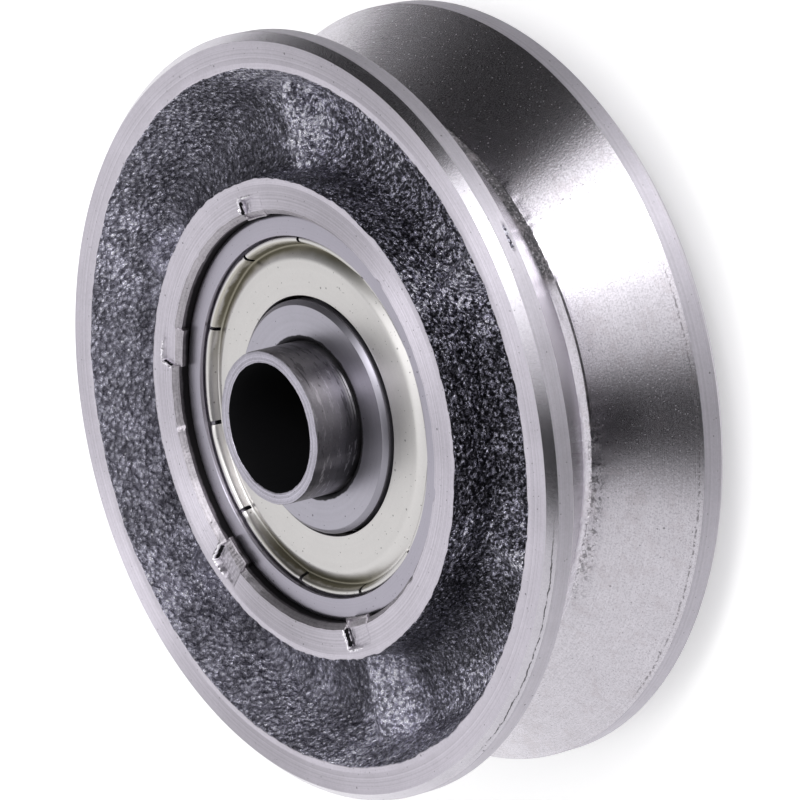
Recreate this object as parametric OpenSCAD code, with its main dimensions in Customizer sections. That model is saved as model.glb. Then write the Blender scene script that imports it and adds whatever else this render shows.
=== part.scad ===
// V groove wheel: a cast wheel that runs on a V rail, carried on one
// shielded deep-groove ball bearing with a reducing sleeve for the axle bolt.
// The spin axis is Z, the middle of the groove is at z = 0, and the wheel
// stands on the end of its sleeve.

/* [Wheel] */
// Outer diameter over the two lands
wheel_d = 60; // [58:1:70]
// Distance from the middle of the groove to the near machined face
near_w = 8.5; // [8:0.25:10]
// Distance from the middle of the groove to the far machined face
far_w = 8.75; // [8:0.25:10]
// Width of the V groove at its mouth
groove_mouth_w = 12.8; // [11:0.2:13.6]
// Included angle of the V groove
groove_angle = 90; // [84:1:100]
// Width of the flat, as-cast strip at the bottom of the groove
groove_floor_w = 0.9; // [0.6:0.1:2]
// Bevel between each rim face and its land, along the radius
edge_bevel_r = 0.6; // [0.3:0.1:0.9]
// The same bevel, along the axis
edge_bevel_z = 0.7; // [0.3:0.1:1]

/* [Cast web] */
// Radial width of the machined rim face, measured in from its bevel
rim_face_w = 2.15; // [1.6:0.05:2.6]
// Radial width of the machined hub face, measured out from the bearing seat
hub_face_w = 2.8; // [2.2:0.1:3.4]
// Depth of the cast trough below the machined faces
web_depth = 5.3; // [4:0.1:5.8]
// Radius at the bottom corners of the trough
web_fillet = 2.2; // [1.6:0.1:2.4]
// Slope of the hub wall of the trough: how far its foot stands out
hub_draft = 0.25; // [0:0.05:0.8]
// Slope of the rim wall of the trough: how far its foot stands in
rim_draft = 1.65; // [1:0.05:2]
// Number of cast ribs on each side
rib_count = 6; // [4:1:8]
// Width of a rib at its foot
rib_w = 5.6; // [4:0.1:6.5]
// Height of a rib above the floor of the trough
rib_h = 1.8; // [1:0.1:2.4]

/* [Bearing seat] */
// Depth from the hub face to the bearing
bearing_recess = 1.1; // [0.7:0.05:1.5]
// Bevel at the mouth of the seat
seat_bevel = 0.42; // [0.2:0.02:0.6]
// How far the shoulder behind the bearing reaches in from the seat
seat_shoulder = 2.5; // [1.5:0.1:2.8]
// Number of punched stakes that hold the bearing in
stake_count = 6; // [3:1:8]
// Angle of the first stake
stake_phase = 9; // [0:1:59]
// Width of the punch mark along the seat's edge
stake_w = 3; // [2:0.1:3.6]
// Radial length of the punch mark on the hub face
stake_l = 1.7; // [1:0.1:2.2]
// Depth of the punch mark at its deep side
stake_depth = 0.75; // [0.4:0.05:0.9]
// Direction in which the punch leans, which is the deep side of every mark
stake_lean = 90; // [0:5:355]
// How far the pushed metal reaches in from the seat, over the bearing's edge
stake_lip_in = 0.55; // [0.3:0.05:0.8]
// How much narrower the pushed metal is than the mark, on each side
stake_lip_side = 0.2; // [0.1:0.05:0.4]

/* [Bearing] */
// Outside diameter of the bearing
bearing_od = 32; // [31.6:0.1:32.4]
// Bore of the bearing, and outside diameter of the sleeve
bearing_bore_d = 12; // [11.8:0.1:12.2]
// Width of the bearing
bearing_w = 10; // [9.8:0.1:10.4]
// Corner radius of the rings
ring_corner = 0.45; // [0.3:0.05:0.6]
// Bevel on the shoulders of the inner ring
inner_bevel = 0.35; // [0.2:0.05:0.4]
// Diameter of a ball
ball_d = 5.953; // [5.8:0.001:6]
// Diameter of the outer ring's shoulders
outer_shoulder_d = 25.7; // [25.4:0.1:26]
// Gap between the shoulders of the two rings, where the cage runs
shoulder_gap_w = 3.7; // [3.6:0.05:3.8]
// Radius of the ball tracks, as a share of the ball's diameter
track_conformity = 0.52; // [0.515:0.005:0.53]
// Running clearance between a ball and each track
track_clearance = 0.02; // [0.01:0.005:0.04]

/* [Shields] */
// Thickness of the pressed shield
shield_t = 0.3; // [0.2:0.02:0.34]
// Depth of the shield's flat below the bearing's face
shield_depth = 0.63; // [0.55:0.01:0.7]
// Radial gap between the shield and the inner ring
shield_gap = 0.27; // [0.2:0.01:0.4]
// Diameter of the recess that the shield's curled rim fills
shield_seat_d = 28.36; // [28.2:0.02:28.5]
// Depth of the pressed valley inside the curled rim
shield_valley = 0.5; // [0.3:0.02:0.56]
// Radial width of the slope from the flat down to the valley
valley_w = 1.1; // [0.9:0.02:1.2]
// Radial width of the slope from the valley up to the crest of the curl
curl_rise_w = 0.5; // [0.4:0.02:0.6]
// Radial width of the curl outside its crest
curl_w = 0.24; // [0.2:0.02:0.3]
// Depth of the crest of the curl below the bearing's face
curl_depth = 0.33; // [0.24:0.01:0.38]
// How far the curl turns down outside its crest
curl_drop = 0.24; // [0.2:0.02:0.28]
// Clearance between the curl and its seat
curl_clearance = 0.05; // [0.02:0.01:0.08]
// Number of slits in the curled rim
shield_slits = 11; // [8:1:14]
// Angle of the first slit
slit_phase = -6.5; // [-16:0.5:16]
// Width of a slit
slit_w = 0.32; // [0.2:0.02:0.5]
// Length of a slit, measured in from the edge of the shield
slit_l = 0.74; // [0.6:0.01:0.84]
// Depth of the undercut in the outer ring that the curl locks into
undercut = 0.2; // [0.1:0.02:0.3]
// Straight lip of the outer ring above the undercut
undercut_lip = 0.3; // [0.2:0.05:0.4]
// Depth below the bearing's face at which the undercut starts to close
undercut_w = 0.8; // [0.75:0.01:0.85]
// Clearance between the valley and the outer ring's step
valley_clearance = 0.08; // [0.04:0.01:0.1]

/* [Cage] */
// Thickness of the pressed cage
cage_t = 0.6; // [0.4:0.05:0.65]
// Radial clearance between the cage and the shoulders of each ring
cage_clearance = 0.7; // [0.55:0.05:0.9]
// Clearance between a ball and its pocket
pocket_clearance = 0.12; // [0.08:0.01:0.2]
// Diameter of a cage rivet
rivet_d = 1; // [0.8:0.05:1.2]
// Diameter of a rivet's head
rivet_head_d = 1.7; // [1.4:0.05:2]
// Height of a rivet's head
rivet_head_h = 0.4; // [0.3:0.05:0.5]

/* [Sleeve] */
// Bore of the sleeve, for the axle bolt
sleeve_bore_d = 10.1; // [9.6:0.1:10.4]
// Length of the sleeve
sleeve_l = 23; // [20:0.5:30]
// Bevel at the sleeve's sawn ends
sleeve_bevel = 0.15; // [0.05:0.05:0.3]

/* [Hidden] */

$fn = 96;
eps = 0.01;
steps = 6;
rib_steps = 8;
turn = 360;
ball_count = 7;

wheel_r = wheel_d / 2;
wheel_w = near_w + far_w;
mouth_z = groove_mouth_w / 2;
floor_z = groove_floor_w / 2;
groove_floor_r = wheel_r - (mouth_z - floor_z) / tan(groove_angle / 2);

seat_r = bearing_od / 2;
hub_r = seat_r + hub_face_w;
rim_in_r = wheel_r - edge_bevel_r - rim_face_w;
web_z = near_w - web_depth;
fillet_z = web_z + web_fillet;
fillet_out_r = rim_in_r - rim_draft - web_fillet;
fillet_in_r = hub_r + hub_draft + web_fillet;

bearing_h = bearing_w / 2;
bearing_z = near_w - bearing_recess - bearing_h;
seat_end_z = bearing_z - bearing_h;
shoulder_r = seat_r - seat_shoulder;

stake_tilt = atan(stake_depth / stake_w);

ball_r = ball_d / 2;
inner_shoulder_d = outer_shoulder_d - 2 * shoulder_gap_w;
pitch_r = (outer_shoulder_d - shoulder_gap_w) / 2;
track_r = track_conformity * ball_d;
outer_track_r = pitch_r + ball_r + track_clearance - track_r;
inner_track_r = pitch_r - ball_r - track_clearance + track_r;

shield_seat_r = shield_seat_d / 2;
shield_flat_z = bearing_h - shield_depth;
shield_in_r = inner_shoulder_d / 2 + shield_gap;
curl_crest_z = bearing_h - curl_depth;
curl_r = shield_seat_r - curl_clearance;
curl_crest_r = curl_r - curl_w;
valley_r = curl_crest_r - curl_rise_w;
shield_flat_r = valley_r - valley_w;
valley_z = shield_flat_z - shield_valley;
seat_step_z = valley_z - shield_t - valley_clearance;

pocket_r = ball_r + pocket_clearance;
cage_out_r = outer_shoulder_d / 2 - cage_clearance;
cage_in_r = inner_shoulder_d / 2 + cage_clearance;
rivet_circle_r = (cage_out_r + cage_in_r) / 2;

sleeve_r = bearing_bore_d / 2;
sleeve_bore_r = sleeve_bore_d / 2;
sleeve_h = sleeve_l / 2;

// Where a line from point p touches a circle at c, on the given side.
function touch(p, c, r, side) =
    let (d = p - c, l = norm(d), a = atan2(d[1], d[0]) + side * acos(r / l))
    c + r * [cos(a), sin(a)];

// A smooth step from one point to the next, without its first point.
function ease(a, b) = [
    for (i = [1:steps])
        let (t = i / steps)
        [a[0] + (b[0] - a[0]) * t, a[1] + (b[1] - a[1]) * (1 - cos(turn / 2 * t)) / 2]
];

function reversed(p) = [for (i = [len(p) - 1:-1:0]) p[i]];

// A quarter corner of radius r from angle a, around centre c.
function corner(c, r, a) = [
    for (i = [0:steps])
        let (at = a + turn / 4 * i / steps)
        c + r * [cos(at), sin(at)]
];

module ring_of(count, phase = 0) {
    for (i = [0:count - 1])
        rotate([0, 0, phase + turn * i / count])
            children();
}

module both_ends() {
    children();
    mirror([0, 0, 1]) children();
}

// ---------------------------------------------------------------- the wheel

module rim_outline() {
    polygon([
        [0, -far_w],
        [wheel_r - edge_bevel_r, -far_w],
        [wheel_r, edge_bevel_z - far_w],
        [wheel_r, -mouth_z],
        [groove_floor_r, -floor_z],
        [groove_floor_r, floor_z],
        [wheel_r, mouth_z],
        [wheel_r, near_w - edge_bevel_z],
        [wheel_r - edge_bevel_r, near_w],
        [0, near_w]
    ]);
}

// Section of the cast trough: two bottom corners, joined to the faces by the drafted walls.
module trough_outline() {
    centre_out = [fillet_out_r, fillet_z];
    centre_in = [fillet_in_r, fillet_z];
    rim_edge = [rim_in_r, near_w];
    hub_edge = [hub_r, near_w];
    above = [0, web_fillet];
    polygon([
        rim_edge + above,
        rim_edge,
        touch(rim_edge, centre_out, web_fillet, -1),
        centre_out,
        [fillet_out_r, web_z],
        [fillet_in_r, web_z],
        centre_in,
        touch(hub_edge, centre_in, web_fillet, 1),
        hub_edge,
        hub_edge + above
    ]);
    translate(centre_out) circle(r = web_fillet);
    translate(centre_in) circle(r = web_fillet);
}

// One soft cast rib, a bell curve across and straight along the radius.
module rib() {
    crown = [
        for (i = [0:rib_steps])
            let (t = i / rib_steps)
            [(t - 0.5) * rib_w, rib_h * (1 - cos(turn * t)) / 2]
    ];
    below = [0, -web_fillet];
    translate([hub_r - web_fillet, 0, web_z])
        rotate([90, 0, 90])
            linear_extrude(rim_in_r - hub_r + 2 * web_fillet)
                polygon(concat([crown[0] + below], crown, [crown[rib_steps] + below]));
}

// The hollow of the trough, with the ribs left standing in it.
module ribbed_trough() {
    difference() {
        rotate_extrude() trough_outline();
        ring_of(rib_count) rib();
    }
}

// Places its children at every stake, the deep side to the side that the punch leans to.
module at_stakes() {
    for (i = [0:stake_count - 1]) {
        angle = stake_phase + turn * i / stake_count;
        rotate([0, 0, angle])
            if (sin(stake_lean - angle) < 0)
                mirror([0, 1, 0]) children();
            else
                children();
    }
}

// The tilted punch sinks in at one side of its mark and fades out at the other.
module stake_mark() {
    reach = 2 * stake_w;
    translate([seat_r, stake_w / 2, near_w - stake_depth])
        rotate([-stake_tilt, 0, 0])
            translate([-seat_shoulder, -reach, 0])
                cube([seat_shoulder + stake_l + seat_bevel, reach, reach]);
}

// Edge of the seat that the punch pushes in over the bearing.
module stake_lip() {
    lip_w = stake_w - 2 * stake_lip_side;
    translate([seat_r - stake_lip_in, -lip_w / 2, near_w - bearing_recess])
        cube([stake_lip_in + stake_l, lip_w, bearing_recess]);
}

module seat_outline() {
    polygon([
        [0, -wheel_w],
        [shoulder_r, -wheel_w],
        [shoulder_r, seat_end_z],
        [seat_r, seat_end_z],
        [seat_r, near_w - seat_bevel],
        [seat_r + seat_bevel, near_w],
        [seat_r + seat_bevel, wheel_w],
        [0, wheel_w]
    ]);
}

// Both troughs, each measured from its own machined face.
module both_troughs() {
    ribbed_trough();
    translate([0, 0, near_w - far_w]) mirror([0, 0, 1]) ribbed_trough();
}

module wheel() {
    color("dimgray")
        difference() {
            union() {
                difference() {
                    rotate_extrude() rim_outline();
                    both_troughs();
                    rotate_extrude() seat_outline();
                }
                at_stakes() stake_lip();
            }
            at_stakes() stake_mark();
        }
}

// -------------------------------------------------------------- the bearing

// A bearing ring turned from half its section, with the ball track cut in.
module race(half, track_centre_r) {
    other_half = reversed([for (p = half) [p[0], -p[1]]]);
    translate([0, 0, bearing_z])
        rotate_extrude()
            difference() {
                polygon(concat(half, other_half));
                translate([track_centre_r, 0]) circle(r = track_r);
            }
}

module outer_ring() {
    corner_at = [seat_r - ring_corner, bearing_h - ring_corner];
    undercut_r = shield_seat_r + undercut;
    half = concat(
        corner(corner_at, ring_corner, 0),
        [
            [shield_seat_r, bearing_h],
            [shield_seat_r, bearing_h - undercut_lip],
            [undercut_r, bearing_h - undercut_lip - undercut],
            [undercut_r, bearing_h - undercut_w],
            [shield_seat_r, bearing_h - undercut_w - undercut],
            [shield_seat_r, seat_step_z],
            [outer_shoulder_d / 2, seat_step_z]
        ]
    );
    color("lightsteelblue") race(half, outer_track_r);
}

module inner_ring() {
    corner_at = [sleeve_r + ring_corner, bearing_h - ring_corner];
    half = concat(
        [
            [inner_shoulder_d / 2, bearing_h - inner_bevel],
            [inner_shoulder_d / 2 - inner_bevel, bearing_h]
        ],
        corner(corner_at, ring_corner, 90)
    );
    color("lightsteelblue") race(half, inner_track_r);
}

// The pressed sheet from its bore to the bottom of its valley.
function shield_dish(z) = concat(
    [[shield_in_r, shield_flat_z + z]],
    [[shield_flat_r, shield_flat_z + z]],
    ease([shield_flat_r, shield_flat_z + z], [valley_r, valley_z + z])
);

// The sheet's rolled edge, over its crest and down into the outer ring's seat.
function shield_curl() = concat(
    ease([valley_r, valley_z], [curl_crest_r, curl_crest_z]),
    ease([curl_crest_r, curl_crest_z], [curl_r, curl_crest_z - curl_drop]),
    [[curl_r, curl_crest_z - curl_drop - shield_t]]
);

module shield() {
    difference() {
        rotate_extrude()
            polygon(concat(shield_dish(0), shield_curl(), reversed(shield_dish(-shield_t))));
        ring_of(shield_slits, slit_phase)
            translate([curl_r - slit_l, -slit_w / 2, valley_z])
                cube([slit_l + curl_clearance, slit_w, bearing_h]);
    }
}

module shield_front() {
    color("gainsboro") translate([0, 0, bearing_z]) shield();
}

module shield_back() {
    color("gainsboro") translate([0, 0, bearing_z]) mirror([0, 0, 1]) shield();
}

// One pressed half of the cage: a flat ring that domes over every ball.
module cage_half() {
    difference() {
        intersection() {
            union() {
                cylinder(r = cage_out_r + ball_r, h = cage_t);
                ring_of(ball_count) translate([pitch_r, 0, 0]) sphere(r = pocket_r + cage_t);
            }
            difference() {
                cylinder(r = cage_out_r, h = bearing_h);
                translate([0, 0, -eps]) cylinder(r = cage_in_r, h = bearing_h + 2 * eps);
            }
        }
        ring_of(ball_count) translate([pitch_r, 0, 0]) sphere(r = pocket_r);
        ring_of(ball_count, turn / ball_count / 2)
            translate([rivet_circle_r, 0, -eps]) cylinder(d = rivet_d, h = bearing_h);
    }
}

module cage_front() {
    color("darkkhaki") translate([0, 0, bearing_z]) cage_half();
}

module cage_back() {
    color("darkkhaki") translate([0, 0, bearing_z]) mirror([0, 0, 1]) cage_half();
}

module rivet() {
    cylinder(d = rivet_d, h = 2 * cage_t, center = true);
    both_ends() translate([0, 0, cage_t]) cylinder(d = rivet_head_d, h = rivet_head_h);
}

module cage_rivets() {
    color("gray")
        translate([0, 0, bearing_z])
            ring_of(ball_count, turn / ball_count / 2)
                translate([rivet_circle_r, 0, 0])
                    rivet();
}

module ball(number) {
    color("whitesmoke")
        rotate([0, 0, turn * (number - 1) / ball_count])
            translate([pitch_r, 0, bearing_z])
                sphere(r = ball_r);
}

// --------------------------------------------------------------- the sleeve

module axle_sleeve() {
    color("slategray")
        rotate_extrude()
            polygon([
                [sleeve_bore_r + sleeve_bevel, -sleeve_h],
                [sleeve_r - sleeve_bevel, -sleeve_h],
                [sleeve_r, sleeve_bevel - sleeve_h],
                [sleeve_r, sleeve_h - sleeve_bevel],
                [sleeve_r - sleeve_bevel, sleeve_h],
                [sleeve_bore_r + sleeve_bevel, sleeve_h],
                [sleeve_bore_r, sleeve_h - sleeve_bevel],
                [sleeve_bore_r, sleeve_bevel - sleeve_h]
            ]);
}

wheel();
outer_ring();
inner_ring();
axle_sleeve();
shield_front();
shield_back();
cage_front();
cage_back();
cage_rivets();
ball(1);  // ball_1
ball(2);  // ball_2
ball(3);  // ball_3
ball(4);  // ball_4
ball(5);  // ball_5
ball(6);  // ball_6
ball(7);  // ball_7
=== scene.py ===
"""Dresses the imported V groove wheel: cast and turned iron wheel, shielded ball bearing and sleeve."""
import math

import bpy
import numpy as np
from mathutils import Matrix, Vector


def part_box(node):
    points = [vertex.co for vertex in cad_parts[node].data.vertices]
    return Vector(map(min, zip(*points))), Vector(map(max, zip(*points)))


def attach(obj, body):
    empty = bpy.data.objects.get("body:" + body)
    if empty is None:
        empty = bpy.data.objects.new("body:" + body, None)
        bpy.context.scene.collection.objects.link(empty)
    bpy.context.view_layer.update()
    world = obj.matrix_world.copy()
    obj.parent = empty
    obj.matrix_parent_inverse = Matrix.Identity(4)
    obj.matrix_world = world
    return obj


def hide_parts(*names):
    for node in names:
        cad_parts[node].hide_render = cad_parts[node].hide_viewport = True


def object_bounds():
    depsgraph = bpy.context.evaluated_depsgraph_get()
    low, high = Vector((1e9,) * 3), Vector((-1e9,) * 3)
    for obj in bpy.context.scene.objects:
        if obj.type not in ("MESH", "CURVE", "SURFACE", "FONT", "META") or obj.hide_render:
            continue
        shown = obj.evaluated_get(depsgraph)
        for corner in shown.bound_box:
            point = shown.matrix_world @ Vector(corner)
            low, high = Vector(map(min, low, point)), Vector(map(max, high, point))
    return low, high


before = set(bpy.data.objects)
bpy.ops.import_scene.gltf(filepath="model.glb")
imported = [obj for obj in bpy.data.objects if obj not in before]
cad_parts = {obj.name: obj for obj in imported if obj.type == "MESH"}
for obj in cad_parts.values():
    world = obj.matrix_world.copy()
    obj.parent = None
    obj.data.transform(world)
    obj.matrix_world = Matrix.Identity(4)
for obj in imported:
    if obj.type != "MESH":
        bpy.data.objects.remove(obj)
cad_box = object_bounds()
MM = 0.001


# ------------------------------------------------------------------- sizes
# In millimetres. z is the axis, 0 in the middle of the groove, with the staked near face above.

def corners(cad_node):
    """The lowest and the highest corner of a CAD node."""
    return [[round(v / MM, 3) for v in corner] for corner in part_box(cad_node)]


wheel_low, wheel_high = corners("wheel")
ring_low, ring_high = corners("outer_ring")
sleeve_high = corners("axle_sleeve")[1]
LAND_R = wheel_high[0]
NEAR, FAR = wheel_high[2], -wheel_low[2]
SEAT_R = ring_high[0]
SEAT_FOOT = ring_low[2]
BEARING_Z = (ring_high[2] + ring_low[2]) / 2
BEARING_HALF = (ring_high[2] - ring_low[2]) / 2
SLEEVE_R, SLEEVE_TOP = sleeve_high[0], sleeve_high[2]

# The trough between the hub and the rim.
HUB_R, RIM_R = 18.8, 27.25
TROUGH, FILLET = 5.3, 2.2
HUB_WALL, RIM_WALL = 0.25, 1.65
RIB_COUNT, RIB_W, RIB_H = 6, 2.8, 2.15
# The meshes of the turned faces end short of its two edges. The trough's own mesh carries the faces on
# to the ragged edges, and its material is turned bright down to CUT_DEPTH below them.
HUB_FACE_R, RIM_FACE_R = 18.34, 27.7
BACK_HUB_FACE_R, BACK_RIM_FACE_R = 18.3, 27.8
CUT_DEPTH = 0.022

# The rim: bevels, lands and the V groove. EASE is how far each turned edge is broken.
BEVEL_R, BEVEL_Z = 0.6, 0.7
EASE = 0.02
MOUTH_Z = 6.4
FLOOR_R, FLOOR_Z = 24.05, 0.45
# The torn edge along the near bevel, the pit in the near land, and the two rough lines in the groove.
TORN_R = LAND_R - 0.22
PIT_ANGLE, PIT_Z, PIT_DEPTH = -63.7, 6.72, 0.4
FOOT_LINE_Z, MOUTH_LINE_Z = -0.52, -6.12

# The bearing's seat, and the plain bore behind it.
SEAT_TOP = 6.6
SEAT_BEVEL = 0.42
BACK_BORE_R = 13.5
BACK_BORE_BEVEL = 0.3

# Angle, side of the deep end, depth, overhang, outer radius and half length of each stake.
STAKES = [(6.9, 1, 0.34, 0.18, 17.5, 1.4), (68.9, 1, 0.34, 0.42, 17.6, 1.65),
          (132.8, -1, 0.42, 0.55, 18.0, 1.5), (190.6, -1, 0.36, 0.42, 17.95, 1.5)]
BURR_H = 0.13
# Angle and half width of each nick in the seat's mouth, and how deep they are.
NICKS = [(250, 0.5), (310, 0.35), (38, 0.25), (222, 0.3), (92, 0.2)]
NICK_DEPTH = 0.16

# The bearing's rings, balls and shields. The shields' curls are slit from SLIT_R outwards.
RING_CORNER = 0.45
BALLS = 7
SLITS = 11
SLIT_R, SLIT_HALF, SLIT_Z = 13.42, 0.155, 6.2
CURL_SAG = 0.09

# The sleeve: its bore, and the worn ridges drawn round it near the bearing.
SLEEVE_BORE_R = 5.05
SLEEVE_BEVEL = 0.15
RIDGE_H = 0.09
RIDGES = [(7.56, 0.05, 1.0), (7.8, 0.045, 0.8)]  # height, width and share of RIDGE_H


# ------------------------------------------------------------ smooth noise

def lattice(seed):
    """The shuffled table and the gradients that noise() draws on."""
    rng = np.random.RandomState(seed)
    perm = rng.permutation(256)
    grad = rng.normal(size=(256, 3))
    grad /= np.linalg.norm(grad, axis=1)[:, None]
    return np.concatenate([perm, perm, perm]), grad


def noise(p, seed):
    """Gradient noise of points p, in about -1 to 1."""
    perm, grad = lattice(seed)
    base = np.floor(p).astype(int)
    f = p - base
    w = f * f * f * (f * (f * 6 - 15) + 10)
    out = 0
    for corner in np.ndindex(2, 2, 2):
        pick = 0
        for axis, far_side in enumerate(corner):
            pick = perm[pick + ((base[..., axis] + far_side) & 255)]
        share = (grad[pick] * (f - np.array(corner))).sum(-1)
        for axis, far_side in enumerate(corner):
            share = share * (w[..., axis] if far_side else 1 - w[..., axis])
        out = out + share
    return out * 1.6


def step(a, b, x):
    """0 at a and 1 at b, smooth between and level beyond."""
    t = np.clip((x - a) / (b - a), 0, 1)
    return t * t * (3 - 2 * t)


def bell(x, width):
    """1 where x is 0, dying away over the width."""
    return np.exp(-(x / width) ** 2)


def signed(deg):
    """Degrees brought into -180 to 180."""
    return (deg + 180) % 360 - 180


# ------------------------------------------------------------ shader values

DEGREES = 180 / math.pi


class Value:
    """A node's output that can be reckoned with: each operator adds one math node."""

    def __init__(self, socket):
        self.socket = socket
        self.tree = socket.id_data

    def __add__(self, other):
        return maths("ADD", self, other)

    def __sub__(self, other):
        return maths("SUBTRACT", self, other)

    def __rsub__(self, other):
        return maths("SUBTRACT", other, self)

    def __mul__(self, other):
        return maths("MULTIPLY", self, other)

    def __truediv__(self, other):
        return maths("DIVIDE", self, other)

    def __gt__(self, other):
        return maths("GREATER_THAN", self, other)

    def __lt__(self, other):
        return maths("LESS_THAN", self, other)

    def __abs__(self):
        return maths("ABSOLUTE", self)


def feed(socket, value):
    """Links a value to a socket, or writes a number, a vector or a colour in it."""
    if isinstance(value, Value):
        value.tree.links.new(value.socket, socket)
    elif isinstance(value, tuple):
        socket.default_value = (*value, 1)[:len(socket.default_value)]
    else:
        socket.default_value = value


def node(tree, kind, inputs=(), **settings):
    """Adds a node, with its settings, and feeds its inputs by name or number."""
    n = tree.nodes.new(kind)
    for key, value in settings.items():
        setattr(n, key, value)
    for key, value in dict(inputs).items():
        feed(n.inputs[key], value)
    return n


def tree_of(*values):
    """The node tree that the values among these are in."""
    return next(v.tree for v in values if isinstance(v, Value))


def maths(operation, a, b=0.0, clamp=False):
    """One math node over numbers and values."""
    n = node(tree_of(a, b), "ShaderNodeMath", {0: a, 1: b}, operation=operation, use_clamp=clamp)
    return Value(n.outputs[0])


def most(a, b):
    return maths("MAXIMUM", a, b)


def vector_maths(operation, inputs):
    n = node(tree_of(*inputs.values()), "ShaderNodeVectorMath", inputs, operation=operation)
    return Value(n.outputs[0])


def split(vector):
    """The vector's x, y and z."""
    return [Value(s) for s in node(vector.tree, "ShaderNodeSeparateXYZ", {0: vector}).outputs]


def degrees_round(vector):
    """The angle round the z axis."""
    x, y = split(vector)[:2]
    return maths("ARCTAN2", y, x) * DEGREES


def eased(value, start, end):
    """0 at start and 1 at end, smooth between and level beyond."""
    n = node(value.tree, "ShaderNodeMapRange", {"From Min": start, "From Max": end, "Value": value},
             interpolation_type="SMOOTHSTEP")
    return Value(n.outputs[0])


def between(value, low, low_in, high_in, high):
    """1 between low_in and high_in, easing to 0 at low and high."""
    return eased(value, low, low_in) * eased(value, high, high_in)


def ramp(value, stops):
    """A colour ramp of (place, colour or grey level) stops."""
    n = node(value.tree, "ShaderNodeValToRGB", {0: value})
    elements = n.color_ramp.elements
    while len(elements) > 1:
        elements.remove(elements[-1])
    for i, (at, colour) in enumerate(stops):
        e = elements[0] if i == 0 else elements.new(at)
        e.position = at
        e.color = (*colour, 1) if isinstance(colour, tuple) else (colour, colour, colour, 1)
    return Value(n.outputs[0])


def mix(share, a, b, blend="MIX"):
    """Colour a, with that share of b laid on it."""
    n = node(tree_of(share, a, b), "ShaderNodeMix", {0: share, 6: a, 7: b},
             data_type="RGBA", blend_type=blend)
    return Value(n.outputs[2])


def times(colour, level):
    """The colour multiplied by a level or by another colour."""
    return mix(1.0, colour, level, "MULTIPLY")


def coords(tree):
    """The place in millimetres, its radius and its height."""
    place = Value(node(tree, "ShaderNodeTexCoord").outputs["Object"])
    p = vector_maths("SCALE", {0: place, "Scale": 1 / MM})
    x, y, z = split(p)
    return p, maths("SQRT", x * x + y * y), z


def noise_node(vector, scale, detail=2.0, rough=0.5):
    return node(vector.tree, "ShaderNodeTexNoise",
                {"Vector": vector, "Scale": scale, "Detail": detail, "Roughness": rough})


def grain(vector, scale, detail=2.0, rough=0.5):
    """Noise with that many grains per millimetre, in about 0 to 1."""
    return Value(noise_node(vector, scale, detail, rough).outputs[0])


def wavy(vector, scale, height, detail=3.0, rough=0.7):
    """Noise that swings to both sides of 0."""
    return (grain(vector, scale, detail, rough) - 0.5) * height


def lathe_lines(r, z, pitch, slope):
    """A one-dimensional noise that runs round the axis, as a turning tool leaves."""
    n = node(r.tree, "ShaderNodeTexNoise", {"W": r + z * slope, "Scale": 1 / pitch, "Detail": 2.0},
             noise_dimensions="1D")
    return Value(n.outputs[0])


def specks(vector, cells, size, share):
    """1 inside small round spots: cells per millimetre, size in cell widths, share of cells with one."""
    v = node(vector.tree, "ShaderNodeTexVoronoi", {"Vector": vector, "Scale": cells})
    c = node(vector.tree, "ShaderNodeSeparateColor", {0: Value(v.outputs["Color"])})
    draw, width = Value(c.outputs[0]), Value(c.outputs[1])
    return (draw > 1 - share) * (Value(v.outputs["Distance"]) < (width + 0.35) * size)


def bump(bsdf, height, distance):
    n = node(height.tree, "ShaderNodeBump", {"Distance": distance, "Strength": 1.0, "Height": height})
    feed(bsdf.inputs["Normal"], Value(n.outputs[0]))


# ---------------------------------------------------------------- materials

def new_material(name, colour, roughness, metallic=1.0):
    material = bpy.data.materials.new(name)
    material.use_nodes = True
    bsdf = material.node_tree.nodes["Principled BSDF"]
    feed(bsdf.inputs["Base Color"], colour)
    feed(bsdf.inputs["Metallic"], metallic)
    feed(bsdf.inputs["Roughness"], roughness)
    return material, bsdf


def gloss_across_lines(bsdf, amount):
    """Lathe lines run round the axis and stretch the gloss across them."""
    bsdf.inputs["Anisotropic"].default_value = amount
    bsdf.inputs["Anisotropic Rotation"].default_value = 0.25
    tangent = node(bsdf.id_data, "ShaderNodeTangent", direction_type="RADIAL", axis="Z")
    feed(bsdf.inputs["Tangent"], Value(tangent.outputs[0]))


def turned_skin(p, r, z, colour, pitch, lines, mottle, dots, slope):
    """A turned surface's colour, and the lathe lines and the fine grain that its relief follows."""
    line = lathe_lines(r, z, pitch, slope)
    broad = lathe_lines(r, z, pitch * 4.3, slope)
    fine = grain(p, 5.5, 3.0, 0.65)
    shade = (line - 0.5) * lines + (fine - 0.5) * (mottle * 1.3)
    shade = shade + wavy(p, 0.3, mottle, 4.0, 0.6)
    shade = shade + (broad - 0.5) * (lines * 0.3)
    pinholes = most(specks(p, 1.7, 0.12, dots), specks(p, 4.5, 0.2, dots * 0.6))
    level = (shade + 1.0) * (1.0 - pinholes * 0.55)
    return vector_maths("SCALE", {0: colour, "Scale": level}), line, fine


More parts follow.
